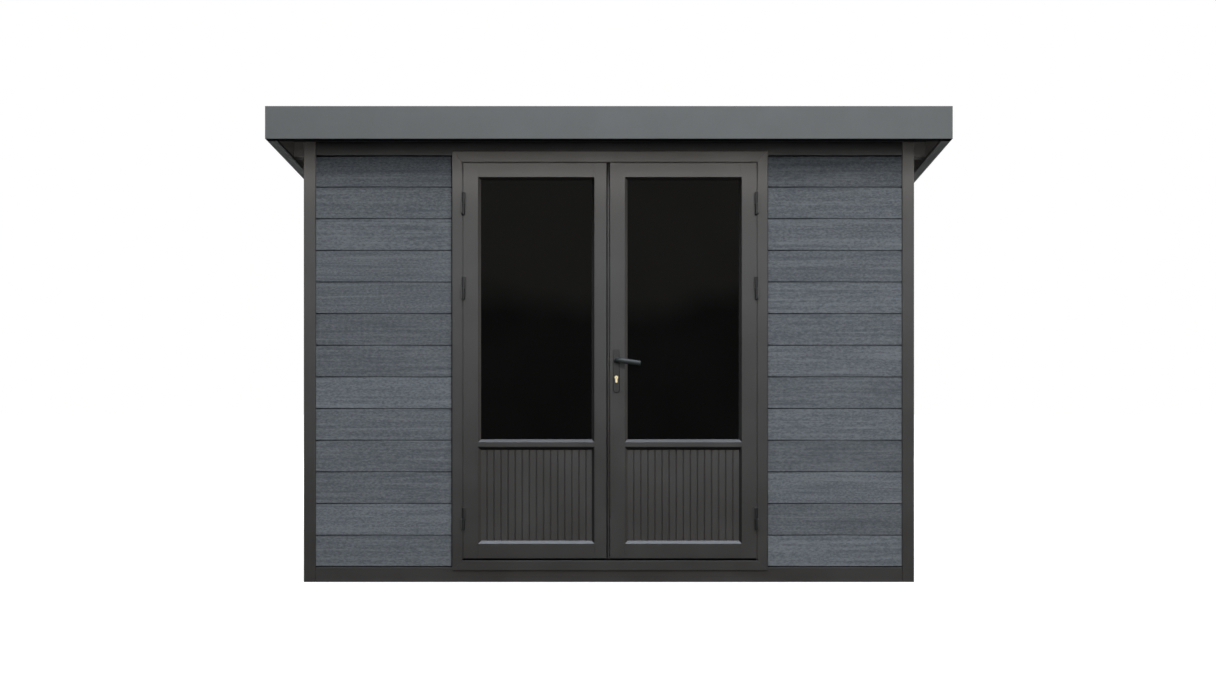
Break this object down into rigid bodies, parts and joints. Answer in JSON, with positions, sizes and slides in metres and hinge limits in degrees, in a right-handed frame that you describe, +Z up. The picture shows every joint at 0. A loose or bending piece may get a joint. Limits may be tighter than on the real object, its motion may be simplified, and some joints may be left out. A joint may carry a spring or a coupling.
{
  "type": "garden shed",
  "caption": "Mono-pitch garden shed with horizontal composite board walls, deep metal fascia and a pair of half-glazed doors that swing outwards.",
  "frame": {"origin": "on the ground at the centre of the base frame", "axes": "+Z up, the front with the doors looks along -Y, +X to the right seen from the front"},
  "size_m": [3.076, 2.823, 2.1789],
  "materials": {
    "frame": "matt powder coat, dark grey",
    "cladding": "brushed blue-grey composite board with fine grain",
    "fascia": "smooth satin coating, mid grey",
    "roof_sheet": "ribbed coated sheet",
    "floor_boards": "plain boards",
    "glazing": "dark tinted double glazing",
    "black_metal": "satin black coating",
    "lock_brass": "bare brass"
  },
  "bodies": {
    "shed": {"base_rail_front": "frame", "base_rail_back": "frame", "base_rails_side": "frame", "floor": "floor_boards", "floor_joists": "frame", "post_front_left": "frame", "post_front_right": "frame", "post_back_left": "frame", "post_back_right": "frame", "wall_front_left": "cladding", "wall_front_right": "cladding", "wall_left": "cladding", "wall_right": "cladding", "wall_back": "cladding", "top_rail_front": "frame", "top_rail_back": "frame", "top_rails_side": "frame", "outriggers": "frame", "roof_rails_side": "frame", "roof_rails_cross": "frame", "roof_deck": "roof_sheet", "fascia_front": "fascia", "fascia_back": "fascia", "fascia_left": "fascia", "fascia_right": "fascia", "door_jambs": "frame", "door_head": "frame", "door_sill": "frame", "frame_hinges": "black_metal"},
    "left_door": {"left_leaf_stiles": "frame", "left_leaf_rails": "frame", "left_leaf_beads": "frame", "left_leaf_glass": "glazing", "left_leaf_panel": "frame", "left_leaf_hinges": "black_metal", "meeting_strip": "frame"},
    "right_door": {"right_leaf_stiles": "frame", "right_leaf_rails": "frame", "right_leaf_beads": "frame", "right_leaf_glass": "glazing", "right_leaf_panel": "frame", "right_leaf_hinges": "black_metal", "lock_plates": "black_metal", "lock_cylinder": "lock_brass"},
    "lever": {"lever_handle": "black_metal"}
  },
  "joints": [
    {"name": "left_door_hinge", "type": "hinge", "parent": "shed", "child": "left_door", "pos_m": [-0.686, -1.222, 1], "axis": [0, 0, -1], "range_deg": [0, 110]},
    {"name": "right_door_hinge", "type": "hinge", "parent": "shed", "child": "right_door", "pos_m": [0.696, -1.222, 1], "axis": [0, 0, 1], "range_deg": [0, 110]},
    {"name": "lever_turn", "type": "hinge", "parent": "right_door", "child": "lever", "pos_m": [0.0355, -1.212, 1.048], "axis": [0, 1, 0], "range_deg": [0, 40], "stiffness_Nm_per_rad": 1.5, "springref_deg": -28.65}
  ]
}
